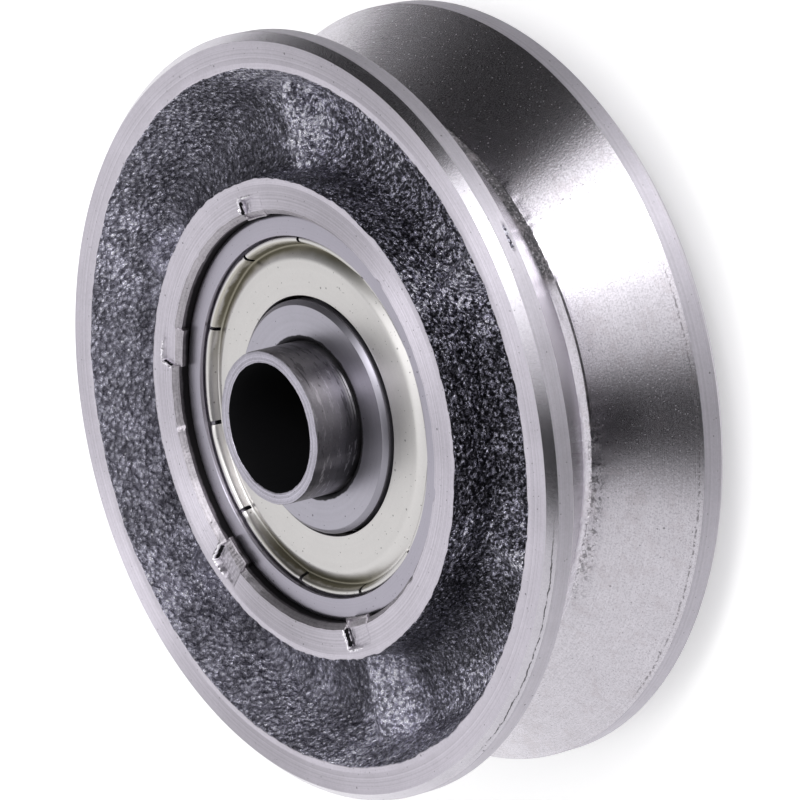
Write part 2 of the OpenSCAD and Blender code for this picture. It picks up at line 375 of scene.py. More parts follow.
def turned(name, colour, rough, pitch=0.16, lines=0.3, depth=0.004, mottle=0.22, dots=0.12, slope=0.73,
           grit=0.5, aniso=0.6, spread=0.12):
    """Turned metal. pitch, lines and depth are the spacing, contrast and relief of the lathe lines, and
    slope how they follow z against r. mottle and dots are the contrast of the patches and the share of
    pinholes, grit is the fine grain's part in the relief, and spread its part in the roughness."""
    material, bsdf = new_material(name, colour, rough)
    p, r, z = coords(material.node_tree)
    skin, line, fine = turned_skin(p, r, z, colour, pitch, lines, mottle, dots, slope)
    feed(bsdf.inputs["Base Color"], skin)
    feed(bsdf.inputs["Roughness"], fine * spread + (rough - spread / 2))
    bump(bsdf, line + fine * grit, depth * MM)
    gloss_across_lines(bsdf, aniso)
    return material


def darker(colour, level):
    """The colour at that share of its brightness."""
    return tuple(level * c for c in colour)


def blended(a, b, share):
    """Colour a with that share of b."""
    return tuple((1 - share) * c + share * d for c, d in zip(a, b))


def ribs_rubbed_and_pockets_shaded(iron, r, turn, patch, painted_light_side, dark):
    """The ribs are partly rubbed bright and partly painted with light, and the pockets between them are
    painted with shade, most of all at the hub.
    """
    on_rib = maths("COSINE", turn * float(RIB_COUNT)) + (patch - 0.5) * 1.3
    on_rib = (on_rib + 1.0) * 0.5
    # the rib crests are painted lighter: partly rubbed bright, partly painted light
    rubbed = ramp(on_rib, [(0.0, 0.88), (0.4, 0.72), (0.72, 0.7), (0.88, 1.05), (0.98, 1.9)])
    share = painted_light_side * 0.7 + 0.3
    iron = mix(share, iron, times(iron, rubbed))
    # painted shade in the pockets between the ribs, strongest by the hub
    painted_pocket_shade = between(on_rib, -1.0, -0.9, 0.35, 0.8) * between(r, 18.2, 19.2, 21.2, 23.4)
    iron = mix(painted_pocket_shade * share * 0.6, iron, darker(dark, 0.25))
    # painted shade in the hollows beside each rib
    beside = between(on_rib, 0.15, 0.4, 0.76, 0.9) * between(r, 19.5, 21.0, 24.0, 26.5)
    return mix(beside * 0.42, iron, darker(dark, 0.3))


def painted_light_and_shade_on_skin(iron, r, turn, dark):
    """Painted light and shade on the casting: paler round one side than the other, with two dark stretches of
    painted shade by the hub.
    """
    deg = turn * DEGREES
    # painted shade in two stretches by the hub
    deep = between(deg, -178, -168, -118, -98) * between(r, 18.0, 18.9, 21.4, 23.6)
    deep = most(deep, between(deg, 12, 22, 40, 56) * between(r, 19.0, 20.6, 23.8, 26.0))
    iron = mix(deep * 0.52, iron, darker(dark, 0.2))
    # painted light and shade: one side paler, one arc lighter and another darker
    level = maths("COSINE", turn - 2.9) * 0.12 + 1.02
    level = level + between(deg, -66, -44, -16, 4) * 0.3
    level = level - between(deg, -146, -132, -112, -100) * 0.14
    return times(iron, level)


def cast_iron(name, dark, light, rough, relief=0.22):
    """Sand-cast skin, grain on grain; where the piece is cut off flat at a face it is turned bright."""
    material, bsdf = new_material(name, dark, rough)
    p, r, z = coords(material.node_tree)
    x, y = split(p)[:2]
    turn = maths("ARCTAN2", y, x)
    warp = Value(noise_node(p, 1.1).outputs["Color"])
    q = vector_maths("MULTIPLY_ADD", {0: warp, 1: (0.5, 0.5, 0.5), 2: p})
    cells = node(p.tree, "ShaderNodeTexVoronoi", {"Vector": q, "Scale": 2.4, "Smoothness": 0.22},
                 feature="SMOOTH_F1")
    dome = 1.0 - Value(cells.outputs["Distance"])
    small = grain(p, 4.2, 4.0, 0.72)
    mid = grain(p, 1.3, 3.0, 0.6)
    patch = grain(p, 0.3, 3.0, 0.6)
    crisp = grain(q, 3.3, 2.0, 0.62) * 0.62 + grain(p, 7.5, 1.5, 0.6) * 0.38
    height = dome * 0.75 + small * 0.9 + mid * 0.9 + crisp * 0.3
    # round one side of the casting the painted glints and shade in the grain, and the painted light and shade
    # on the ribs, are stronger than round the other
    painted_light_side = maths("COSINE", turn + 1.3) * 0.5 + 0.5

    # the grain's tops are painted lighter and its hollows darker: partly wear, partly painted highlight and
    # shade
    worn = ramp(dome * 0.75 + small * 0.55, [
        (0.0, darker(dark, 0.45)), (0.52, dark), (0.72, blended(dark, light, 0.35)),
        (0.9, blended(dark, light, 0.8)), (1.0, light)])
    iron = times(worn, ramp(patch, [(0.0, 0.5), (0.4, 0.74), (0.58, 1.1), (1.0, 1.5)]))
    # the near-white specks are painted glints on the grain
    grains = most(specks(p, 2.7, 0.3, 0.16), specks(q, 4.6, 0.32, 0.16) * 0.8)
    iron = mix(grains * (small * 1.1), iron, (0.88, 0.87, 0.95))
    # painted shade: darker towards the hub wall, a little lighter towards the rim
    hub_shade_stops = [(0.0, 0.5), (0.1, 0.5), (0.28, 0.95), (0.72, 1.0), (0.86, 1.12), (1.0, 1.12)]
    iron = times(iron, ramp((r - 18.0) / 10.0, hub_shade_stops))
    iron = ribs_rubbed_and_pockets_shaded(iron, r, turn, patch, painted_light_side, dark)
    iron = painted_light_and_shade_on_skin(iron, r, turn, dark)
    # the finest grain: painted shade black between the crystals, painted glints white on their points
    points = ramp(crisp, [(0.0, 0.07), (0.42, 0.16), (0.485, 0.55), (0.53, 1.6), (0.57, 4.2), (0.64, 6.5)])
    iron = mix(painted_light_side, iron, times(iron, points))
    iron = vector_maths("MINIMUM", {0: iron, 1: (0.92, 0.91, 0.98)})

    bright, line, fine = turned_skin(p, r, z, (0.60, 0.568, 0.635), pitch=0.14, lines=0.42, mottle=0.26,
                                     dots=0.12, slope=0.73)
    ragged = z + (small - 0.5) * 0.05
    cut = most(ragged > NEAR - CUT_DEPTH, ragged < CUT_DEPTH - FAR)
    uncut = 1.0 - cut
    feed(bsdf.inputs["Base Color"], mix(cut, iron, bright))
    skin_rough = ramp(small, [(0.0, rough + 0.2), (0.45, rough + 0.1), (0.58, rough - 0.1),
                              (1.0, rough - 0.16)])
    feed(bsdf.inputs["Roughness"], skin_rough * uncut + cut * 0.45)
    lines = (line + fine * 0.5) * (0.004 / relief)
    bump(bsdf, height * uncut + lines * cut, relief * MM)
    return material


MACHINED = turned("turned_iron", (0.625, 0.592, 0.66), 0.47, pitch=0.14, lines=0.45, mottle=0.26, aniso=0.87)
GROOVE = turned("turned_groove", (0.60, 0.575, 0.625), 0.225, pitch=0.17, lines=0.2, slope=-1.0, grit=1.6,
                aniso=0.75, mottle=0.2)
LAND = turned("turned_land", (0.6, 0.575, 0.63), 0.68, pitch=0.19, lines=0.26, slope=1.0, grit=0.9, aniso=1.0)
BEVEL = turned("turned_bevel", (0.56, 0.537, 0.588), 0.24, pitch=0.19, lines=0.22, slope=1.0, grit=0.9,
               aniso=0.7)
CAST = cast_iron("cast_iron_skin", (0.17, 0.165, 0.205), (0.66, 0.65, 0.76), 0.25)
# the bored seat is painted dark, as shade in the recess round the bearing
SHADED_SEAT = turned("bored_seat_painted_dark", (0.2, 0.185, 0.195), 0.42, pitch=0.3, lines=0.5, depth=0.012, slope=1.0,
              mottle=0.7)
MOUTH = turned("seat_mouth", (0.42, 0.395, 0.43), 0.42, pitch=0.25, lines=0.4, depth=0.02, slope=1.0,
               mottle=0.7, grit=1.5, aniso=0.3)
RING = turned("ground_ring", (0.42, 0.40, 0.465), 0.3, pitch=0.12, lines=0.1, depth=0.0015, mottle=0.1,
              dots=0.16)
INNER = turned("ground_inner_ring", (0.43, 0.415, 0.475), 0.36, pitch=0.3, lines=0.12, depth=0.0015,
               mottle=0.12, dots=0.1, aniso=0.15)
ZINC = turned("zinc_sheet", (0.645, 0.628, 0.622), 0.35, pitch=0.5, lines=0.06, depth=0.001, mottle=0.1,
              dots=0.22, aniso=0.1)
STAMP = turned("punched_iron", (0.86, 0.84, 0.89), 0.22, pitch=0.2, lines=0.2, depth=0.012, mottle=0.5,
               dots=0.1, grit=2.0, aniso=0.2)
SLEEVE = turned("drawn_sleeve", (0.16, 0.153, 0.17), 0.42, pitch=0.6, lines=0.3, depth=0.006, mottle=0.5,
                dots=0.1, slope=0.2, aniso=0.2)
SAWN = turned("sawn_end", (0.45, 0.43, 0.50), 0.38, pitch=0.1, lines=1.5, depth=0.03, mottle=0.5, dots=0.15,
              grit=0.9, aniso=0.3)
BALL = turned("polished_ball", (0.68, 0.68, 0.69), 0.08, pitch=0.8, lines=0.02, depth=0.0005, mottle=0.04,
              dots=0.02, aniso=0.0, spread=0.02)
CAGE = turned("pressed_cage", (0.52, 0.50, 0.47), 0.32, pitch=0.4, lines=0.12, depth=0.002, dots=0.1,
              aniso=0.0)
RIVET = turned("cage_rivet_steel", (0.46, 0.45, 0.46), 0.35, pitch=0.3, lines=0.1, depth=0.002, dots=0.1,
               aniso=0.0)
# near-black painted shade for the tube's bore and the slits, where only shade is seen
HOLE_SHADE, hole_shade_bsdf = new_material("painted_hole_shade", (0.006, 0.006, 0.007), 0.75, metallic=0.0)
hole_shade_bsdf.inputs["Specular IOR Level"].default_value = 0.1


# ------------------------------------------------------------------- marks
# Each function gives (mask, colour, roughness) marks at a place p, radius r, height z and angle deg.

def overlay(material, marks):
    """Lays marks over a material, one after another."""
    bsdf = material.node_tree.nodes["Principled BSDF"]
    colour_in, rough_in = bsdf.inputs["Base Color"], bsdf.inputs["Roughness"]
    p, r, z = coords(material.node_tree)
    for mask, colour, rough in marks(p, r, z, degrees_round(p)):
        feed(colour_in, mix(mask, Value(colour_in.links[0].from_socket), colour))
        under = Value(rough_in.links[0].from_socket)
        feed(rough_in, under + mask * (rough - under))


def groove_marks(p, r, z, deg):
    """The foot that the tool left as cast, its torn end, and a rough line inside the far mouth."""
    fine = grain(p, 4.2, 3.0, 0.65)
    shift = wavy(p, 1.5, 0.5, 2.0, 0.5)
    strip = abs(z) + shift * 0.4 < 0.5
    arcs = most(between(deg, -71, -67, 58, 70), between(deg, 118, 134, 160, 176))
    sooty = ramp(fine, [(0.0, (0.02, 0.02, 0.022)), (0.5, (0.07, 0.068, 0.072)), (0.62, (0.2, 0.19, 0.2)),
                        (0.75, (0.62, 0.6, 0.64))])
    line = between(z - FOOT_LINE_Z, -0.1, -0.04, 0.03, 0.1) * between(deg, -98, -92, -69, -66)
    tail = between(deg, -134, -120, -97, -92) * between(z + shift, -1.25, -0.85, -0.25, 0.0)
    torn = tail * (grain(p, 2.6, 3.0, 0.7) > 0.5)
    bright = ramp(fine, [(0.0, (0.08, 0.078, 0.082)), (0.45, (0.24, 0.23, 0.25)), (0.56, (0.6, 0.58, 0.62)),
                         (0.7, (0.95, 0.93, 0.97))])
    rag = z - MOUTH_LINE_Z + shift * 0.3
    mouth = between(rag, -0.07, -0.03, 0.03, 0.07) * (fine > 0.5) * between(deg, -150, -140, -78, -66)
    return [(strip * arcs, sooty, 0.42), (line, (0.06, 0.058, 0.062), 0.4), (torn, bright, 0.3),
            (mouth * 0.7, (0.14, 0.13, 0.14), 0.4)]


def groove_specks(p, r, z, deg):
    """Dust and old stain on the turned walls, and painted glints on the arcs where they mirror the dark."""
    # painted glints, only on the arcs where the walls mirror the dark
    painted_glints = specks(p, 6.5, 0.2, 0.14) * between(deg, -66, -52, 40, 60)
    pale = specks(p, 7.0, 0.22, 0.12) * between(deg, -108, -101, -84, -80)
    dust = between(grain(p, 7.0, 2.0, 0.75), 0.5, 0.6, 1.0, 1.1)
    stain = between(grain(p, 0.55, 5.0, 0.75), 0.5, 0.66, 1.0, 1.1)
    return [(dust * 0.34, (0.27, 0.255, 0.285), 0.3), (stain * 0.3, (0.44, 0.395, 0.42), 0.27),
            (most(painted_glints, pale) * 0.36, (0.9, 0.88, 0.95), 0.55)]


def bevel_marks(p, r, z, deg):
    """A thin torn edge that the tool threw up along the bevel, broken in places."""
    torn = between(r - TORN_R + wavy(p, 0.9, 0.3), -0.045, -0.012, 0.012, 0.045)
    torn = torn * between(grain(p, 1.4, 3.0, 0.7), 0.36, 0.5, 0.9, 1.0)
    return [(torn * between(deg, -152, -142, -112, -102), (0.1, 0.097, 0.103), 0.45)]


def valley_oil_and_shade(p, r, z, deg):
    """Old oil and grime in the shield's valley, with painted shade where it would mirror the seat's dark
    wall, and a painted shadow line at the root of its curl.
    """
    valley = between(r + wavy(p, 0.8, 0.3, rough=0.6), 12.3, 13.1, 13.44, 13.56)
    root = between(r, 13.5, 13.56, 13.66, 13.78)
    # the arcs where the valley would mirror the seat's dark wall and take painted shade
    arcs = most(between(deg, -52, -18, 50, 84), between(deg, 122, 144, 184, 190))
    arcs = most(arcs, between(deg, -190, -184, -172, -150))
    return [(valley * arcs * 0.85, (0.17, 0.155, 0.10), 0.36), (root * arcs * 0.5, (0.30, 0.27, 0.19), 0.3)]


def seat_gap_shade(p, r, z, deg):
    """Painted black shade down the seat's wall, where it meets the ring."""
    low = between(z + wavy(p, 0.5, 0.5, rough=0.6), 5.0, 5.1, 7.72, 7.95)
    return [(low * 0.93, (0.012, 0.011, 0.012), 0.6)]


def bore_corner_shade(p, r, z, deg):
    """Painted black shade in the corner between the inner ring and the tube, and the bevel outside made
    darker.
    """
    corner = between(r + wavy(p, 0.9, 0.3), 5.0, 5.5, 6.4, 6.52)
    bevel = between(r, 8.74, 8.8, 9.3, 9.4)
    return [(corner * 0.92, (0.015, 0.014, 0.016), 0.6), (bevel * 0.45, (0.16, 0.155, 0.18), 0.42)]


def sleeve_marks(p, r, z, deg):
    """Patchy scale, drawing marks, painted shade at the foot by the bearing, and scratches on the tube."""
    scale = (0.03, 0.029, 0.032)
    mapping = node(p.tree, "ShaderNodeMapping", {"Vector": p, "Rotation": (0.5, 0.2, 0.3),
                                                 "Scale": (0.45, 0.45, 2.2)})
    streak = grain(Value(mapping.outputs[0]), 0.9, 4.0, 0.7)
    worn = between(deg, -104, -86, -68, -48) * 0.3
    worn = most(worn, between(deg, -48, -38, -30, -18) * 0.4)
    drawn = between(deg, -142, -137, -128, -123) * 0.72
    rubbed = between(deg, -124, -121, -117, -113) * 0.22
    band = between(deg, -150, -138, -112, -100) * 0.6
    # painted shade at the tube's foot, by the bearing
    foot = between(z, 6.6, 6.9, 8.3, 9.2) * between(deg, -150, -138, -82, -70)
    pale = between(streak, 0.56, 0.64, 0.9, 1.0)
    dark = between(streak, 0.0, 0.05, 0.36, 0.44)
    return [(grain(p, 0.22, 3.0, 0.6) * worn, (0.9, 0.87, 0.92), 0.4), (drawn, scale, 0.42),
            (rubbed, (0.6, 0.58, 0.62), 0.36), (band, (0.07, 0.067, 0.075), 0.45), (foot * 0.6, scale, 0.5),
            (pale * 0.3, (0.62, 0.6, 0.64), 0.36), (dark * 0.6, (0.04, 0.038, 0.042), 0.5)]


overlay(GROOVE, groove_marks)
overlay(GROOVE, groove_specks)
overlay(BEVEL, bevel_marks)
overlay(ZINC, valley_oil_and_shade)
overlay(SLEEVE, sleeve_marks)
overlay(INNER, bore_corner_shade)
overlay(SHADED_SEAT, seat_gap_shade)


# ------------------------------------------------------------------ meshes


def placed(name, data):
    """A new object in the scene."""
    o = bpy.data.objects.new(name, data)
    bpy.context.scene.collection.objects.link(o)
    return o


def lines_round(count, extra=()):
    """Angles evenly round the axis, with extra ones where the detail is."""
    even = np.linspace(0, 360, count, endpoint=False)
    return np.unique(np.round(np.concatenate([even] + [np.mod(e, 360) for e in extra]), 4))


def path(points, spacing):
    """Evenly refined (r, z) points along a polyline, each corner kept."""
    out = [points[0]]
    for a, b in zip(points[:-1], points[1:]):
        k = max(1, int(math.ceil(math.hypot(b[0] - a[0], b[1] - a[1]) / spacing)))
        out += [(a[0] + (b[0] - a[0]) * i / k, a[1] + (b[1] - a[1]) * i / k) for i in range(1, k + 1)]
    return out


def arc(cx, cz, r, start, end, count):
    """Points on a circle from one angle to another, in that many steps."""
    angles = [math.radians(start + (end - start) * i / count) for i in range(count + 1)]
    return [(cx + r * math.cos(a), cz + r * math.sin(a)) for a in angles]


def around_axis(r, z, ang):
    """The points at radius r and height z, on the lines at these angles."""
    a = np.radians(ang)
    return np.stack([r * np.cos(a), r * np.sin(a), z], axis=-1)


def on_lines(profile, ang):
    """The radius and the height of a profile's points, repeated on every line."""
    points = np.array(profile)
    level = 0 * ang[None, :]
    return points[:, :1] + level, points[:, 1:] + level


def revolve(profile, ang):
    """A profile turned round the axis."""
    return around_axis(*on_lines(profile, ang), ang)


def rows_between(rings):
    """The mean of each ring of points and the next, for the row of faces between them."""
    return 0.5 * (rings[:-1] + rings[1:])


def numbered(materials):
    """The number that each named material has on its mesh."""
    return {kind: i for i, kind in enumerate(materials)}


def grid_object(name, points, materials, face_mat, body, cad_node, smooth_angle=32, sharp=()):
    """points is rings x lines x 3 in millimetres. Faces join neighbours, and the lines wrap round.
    face_mat numbers the materials: one for all faces, one for each row, or one for each face."""
    n, m = points.shape[:2]
    verts = points.reshape(-1, 3) * MM
    here = np.arange(n * m).reshape(n, m)
    beside = np.roll(here, -1, axis=1)
    quads = np.stack([here[:-1], here[1:], beside[1:], beside[:-1]], axis=-1).reshape(-1, 4)
    mesh = bpy.data.meshes.new(name)
    mesh.vertices.add(len(verts))
    mesh.vertices.foreach_set("co", verts.astype(np.float32).ravel())
    mesh.loops.add(len(quads) * 4)
    mesh.loops.foreach_set("vertex_index", quads.astype(np.int32).ravel())
    mesh.polygons.add(len(quads))
    mesh.polygons.foreach_set("loop_start", (np.arange(len(quads)) * 4).astype(np.int32))
    for material in materials:
        mesh.materials.append(material)
    mesh.update()
    mesh.validate()
    number = np.broadcast_to(face_mat, (n - 1, m)).astype(np.int32)
    mesh.polygons.foreach_set("material_index", number.ravel())
    mesh.polygons.foreach_set("use_smooth", np.ones(len(quads), dtype=bool))
    mesh.set_sharp_from_angle(angle=math.radians(smooth_angle))
    if sharp:
        sharpen_rings(mesh, m, sharp)
    o = placed(name, mesh)
    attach(o, body)
    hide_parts(cad_node)


def sharpen_rings(mesh, line_count, rings):
    """Marks every edge that runs along one of these rings as sharp."""
    ends = np.empty(len(mesh.edges) * 2, dtype=np.int32)
    mesh.edges.foreach_get("vertices", ends)
    ring = ends.reshape(-1, 2) // line_count
    sharp_edge = mesh.attributes.get("sharp_edge") or mesh.attributes.new("sharp_edge", "BOOLEAN", "EDGE")
    marks = np.zeros(len(mesh.edges), dtype=bool)
    sharp_edge.data.foreach_get("value", marks)
    marks |= (ring[:, 0] == ring[:, 1]) & np.isin(ring[:, 0], rings)
    sharp_edge.data.foreach_set("value", marks)


# ------------------------------------------------------------------- wheel

def left_normals(profile):
    """Unit normals on the left of an (r, z) polyline, which for the trough is out of the metal."""
    d = np.gradient(np.array(profile), axis=0)
    n = np.stack([-d[:, 1], d[:, 0]], axis=1)
    return n / np.maximum(np.linalg.norm(n, axis=1), 1e-9)[:, None]


def touch(point, centre, r, side):
    """Where a line from the point touches the circle, and the angle there in degrees."""
    d = (point[0] - centre[0], point[1] - centre[1])
    a = math.atan2(d[1], d[0]) + side * math.acos(r / math.hypot(*d))
    return (centre[0] + r * math.cos(a), centre[1] + r * math.sin(a)), math.degrees(a)


def beyond(edge, foot, height):
    """The point on the line from foot through edge that lies that much higher than the edge."""
    return edge[0] + (edge[0] - foot[0]) * height / (edge[1] - foot[1]), edge[1] + height


def trough_profile(spacing, over=0.55):
    """From above the hub's edge, down the hub wall, across the floor and up past the rim's edge."""
    hub_edge, rim_edge = (HUB_R, NEAR), (RIM_R, NEAR)
    centre_z = NEAR - TROUGH + FILLET
    inner, outer = HUB_R + HUB_WALL + FILLET, RIM_R - RIM_WALL - FILLET
    hub_foot, hub_angle = touch(hub_edge, (inner, centre_z), FILLET, 1)
    rim_foot, rim_angle = touch(rim_edge, (outer, centre_z), FILLET, -1)
    points = [beyond(hub_edge, hub_foot, over), hub_edge]
    points += arc(inner, centre_z, FILLET, hub_angle % 360, 270, 7)
    points += arc(outer, centre_z, FILLET, -90, (rim_angle + 90) % 360 - 90, 7)
    points += [rim_edge, beyond(rim_edge, rim_foot, over)]
    return path(points, spacing)


def trough(ang, spacing, seed, rough):
    """The trough with its ribs and its cast skin, cut off flat at the near face."""
    profile = trough_profile(spacing)
    normal = left_normals(profile)
    r, z = on_lines(profile, ang)
    # ribs: soft bells across, blended into both walls
    rib = 0
    for i in range(RIB_COUNT):
        turn = np.radians(ang)[None, :] - math.radians(360 / RIB_COUNT * i)
        across = r * np.sin(turn)
        ahead = np.cos(turn) > 0.5
        half = RIB_W + 0.5 * math.sin(5.1 * i + seed)
        ridge = np.where(np.abs(across) < half, 0.5 + 0.5 * np.cos(np.pi * across / half), 0)
        rib = np.maximum(rib, ahead * ridge * (RIB_H + 0.25 * math.sin(3.3 * i + 2 * seed)))
    z = z + np.clip(rib - (z - (NEAR - TROUGH)), 0, None)
    # as-cast skin, pushed along the wall's normal: grains per millimetre, and their height
    p = around_axis(r, z, ang)
    octaves = [(0.3, 0.09), (0.9, 0.07), (1.8, 1.1 * rough), (3.4, 0.12 * rough)]
    skin = sum(height * noise(p * scale, seed + i) for i, (scale, height) in enumerate(octaves))
    return around_axis(r + normal[:, :1] * skin, np.minimum(z + normal[:, 1:] * skin, NEAR), ang)


def wheel_front_web():
    """The front trough, from just inside the hub's edge to just outside the rim's."""
    ang = lines_round(1096)
    front = trough(ang, 0.21, seed=11, rough=0.05)
    front[0] = revolve([(HUB_FACE_R, NEAR)], ang)[0]
    front[-1] = revolve([(RIM_FACE_R, NEAR)], ang)[0]
    grid_object("wheel_front_web", front, [CAST], 0, "wheel", "wheel", smooth_angle=75)


def rim_profile():
    """The rim's stretches from the near face round to the far face, as (kind, points)."""
    bevel = [(LAND_R - BEVEL_R, EASE), (LAND_R - BEVEL_R / 2, BEVEL_Z / 2), (LAND_R - EASE, BEVEL_Z - EASE)]
    face_end = LAND_R - BEVEL_R - EASE
    by_foot = (25.3, -1.7)
    return [
        ("face", [(r, NEAR) for r in (RIM_FACE_R, 28.6, face_end)]),
        ("bevel", [(r, NEAR - down) for r, down in bevel]),
        ("land", [(LAND_R, NEAR - BEVEL_Z), (LAND_R, 7.4)] + path([(LAND_R, 7.2), (LAND_R, 6.5)], 0.1)
         + [(LAND_R, MOUTH_Z + EASE)]),
        ("wall", path([(LAND_R - EASE, MOUTH_Z - EASE), (FLOOR_R + EASE, FLOOR_Z + EASE)], 0.4)),
        ("wall", [(FLOOR_R, z) for z in (FLOOR_Z - 0.03, 0.22, 0.0, -0.22, 0.03 - FLOOR_Z)]),
        ("wall", path([(FLOOR_R + EASE, -FLOOR_Z - EASE), by_foot], 0.25)
         + path([by_foot, (LAND_R - EASE, EASE - MOUTH_Z)], 0.5)[1:]),
        ("land", [(LAND_R, z) for z in (-MOUTH_Z - EASE, -7.0, -7.6, BEVEL_Z - FAR)]),
        ("bevel", [(r, up - FAR) for r, up in bevel[::-1]]),
        ("face", [(r, -FAR) for r in (face_end, 28.6, BACK_RIM_FACE_R)]),
    ]


def rim_wear(r, z, deg, ang):
    """The worn radius of the rim's points, and where the pit in the near land is."""
    p = around_axis(r, z, ang)
    lump = noise(p * 0.9, 5)
    fleck = noise(p * 2.6, 6)
    # the foot of the groove is left rough where the tool did not clean the casting up
    reach = (r - FLOOR_R) * np.sqrt(2.0)
    arcs = step(-84, -70, deg) * step(70, 50, deg) + step(120, 135, deg) * step(178, 160, deg)
    foot = arcs * (np.abs(z) < 0.62 + 0.1 * lump) * (r < 24.35)
    foot = np.where(deg < -66, foot * (z < 0.5 + (deg + 66) * 0.05), foot)
    tail = step(-86, -96, deg) * step(-136, -118, deg)
    torn = tail * (z < 0.3) * step(1.5, 0.3, reach + 0.5 * lump) * (r < 25.6)
    worn = r - np.maximum(foot, torn) * (0.04 + 0.035 * lump + 0.03 * fleck)
    # a casting pit in the near land, by the mouth of the groove
    along, across = (deg - PIT_ANGLE) / 2.2, (z - PIT_Z + 0.08 * lump) / 0.17
    pit = np.exp(-along ** 4 - across ** 2) * (r > LAND_R - 0.5)
    return worn - PIT_DEPTH * pit * (0.7 + 0.6 * fleck), pit


def wheel_rim():
    """Both turned faces, bevels and lands, the V groove and, behind it, the back trough."""
    ang = lines_round(720)
    back = trough(ang, 0.42, seed=31, rough=0.06)[::-1].copy()
    back[..., 2] = -(back[..., 2] + FAR - NEAR)
    back[0] = revolve([(BACK_RIM_FACE_R, -FAR)], ang)[0]
    back[-1] = revolve([(BACK_HUB_FACE_R, -FAR)], ang)[0]
    materials = {"face": MACHINED, "skin": CAST, "wall": GROOVE, "land": LAND, "bevel": BEVEL}
    number = numbered(materials)
    profile, rows, sharp = [], [], []
    for kind, points in rim_profile():
        if profile:
            rows.append(number[kind])
            sharp += [len(profile) - 1, len(profile)]
        profile += points
        rows += [number[kind]] * (len(points) - 1)
    r, z = on_lines(profile, ang)
    r, pit = rim_wear(r, z, signed(ang[None, :]), ang)
    rim_faces = np.where(rows_between(pit) > 0.45, number["skin"], np.array(rows)[:, None])
    back_faces = np.full((len(back), len(ang)), number["skin"])
    back_faces[0] = number["face"]
    grid_object("wheel_rim", np.concatenate([around_axis(r, z, ang), back]), materials.values(),
                np.concatenate([rim_faces, back_faces]), "wheel", "wheel", smooth_angle=80, sharp=sharp)


def punched(r, z, flat_r, flat_z, ang, stake):
    """One stake's pit with the lip that it pushes over the ring, then where its burrs and slits are."""
    middle, side, depth, push, outer_r, half = stake
    turn = np.radians(signed(ang[None, :] - middle))
    near = np.abs(turn) < 0.3
    u = flat_r * np.cos(turn)
    v = flat_r * np.sin(turn) * side
    wave, grit = [noise(np.stack([u * scale, v * scale, 0 * u + middle], -1), seed)
                  for scale, seed in ((1.3, 9), (3.7, 10))]
    uu, vv = u + 0.07 * wave, v + 0.06 * wave
    along = np.clip((vv + half) / (2 * half), 0, 1)
    inside = step(outer_r, outer_r - 0.2, uu)
    # the pit slopes down to its deep end, and it cuts the seat's wall open
    sunk = depth * (0.15 + 0.85 * along) + 0.02 * grit
    sunk = sunk * step(half, half - 0.16, vv) * step(-half - 0.1, 0.1 - half, vv) * inside
    on_face = flat_r > SEAT_R + 0.1
    z = np.where(near & on_face, z - sunk, z)
    z = np.where(near & ~on_face & (np.abs(v) < half - 0.08), np.minimum(z, NEAR - sunk), z)
    # burrs stand up beyond the deep end and along the outer side
    burr = bell(vv - half - 0.14, 0.09) * step(outer_r + 0.2, outer_r - 0.2, uu) * step(16.2, 16.5, uu)
    burr = burr + 0.8 * bell(uu - outer_r - 0.1, 0.08) * step(half + 0.25, half, vv) * step(-1.2, 0.4, vv)
    z = np.where(near, z + BURR_H * burr * (0.7 + 1.1 * grit), z)
    bright = near * np.clip(burr, 0, 1) * (0.75 + 0.5 * grit)
    lip = near & (np.abs(v) < half - 0.1 + 0.05 * wave) & (flat_z > 7.5)
    inward = step(16.6, 15.95, flat_r) * push * (0.75 + 0.25 * along + 0.12 * wave)
    r = np.where(lip, r - inward, r)
    # the stake's slits are painted black as shade, with no cut in the mesh
    end_slit = bell(vv - half + 0.06, 0.1) * step(16.1, 16.4, uu) * inside
    side_slit = bell(uu - outer_r - 0.24, 0.045) * step(half + 0.2, half, vv) * step(-0.8, 0.4, vv) * 0.9
    return r, z, bright, near * np.maximum(end_slit, side_slit)


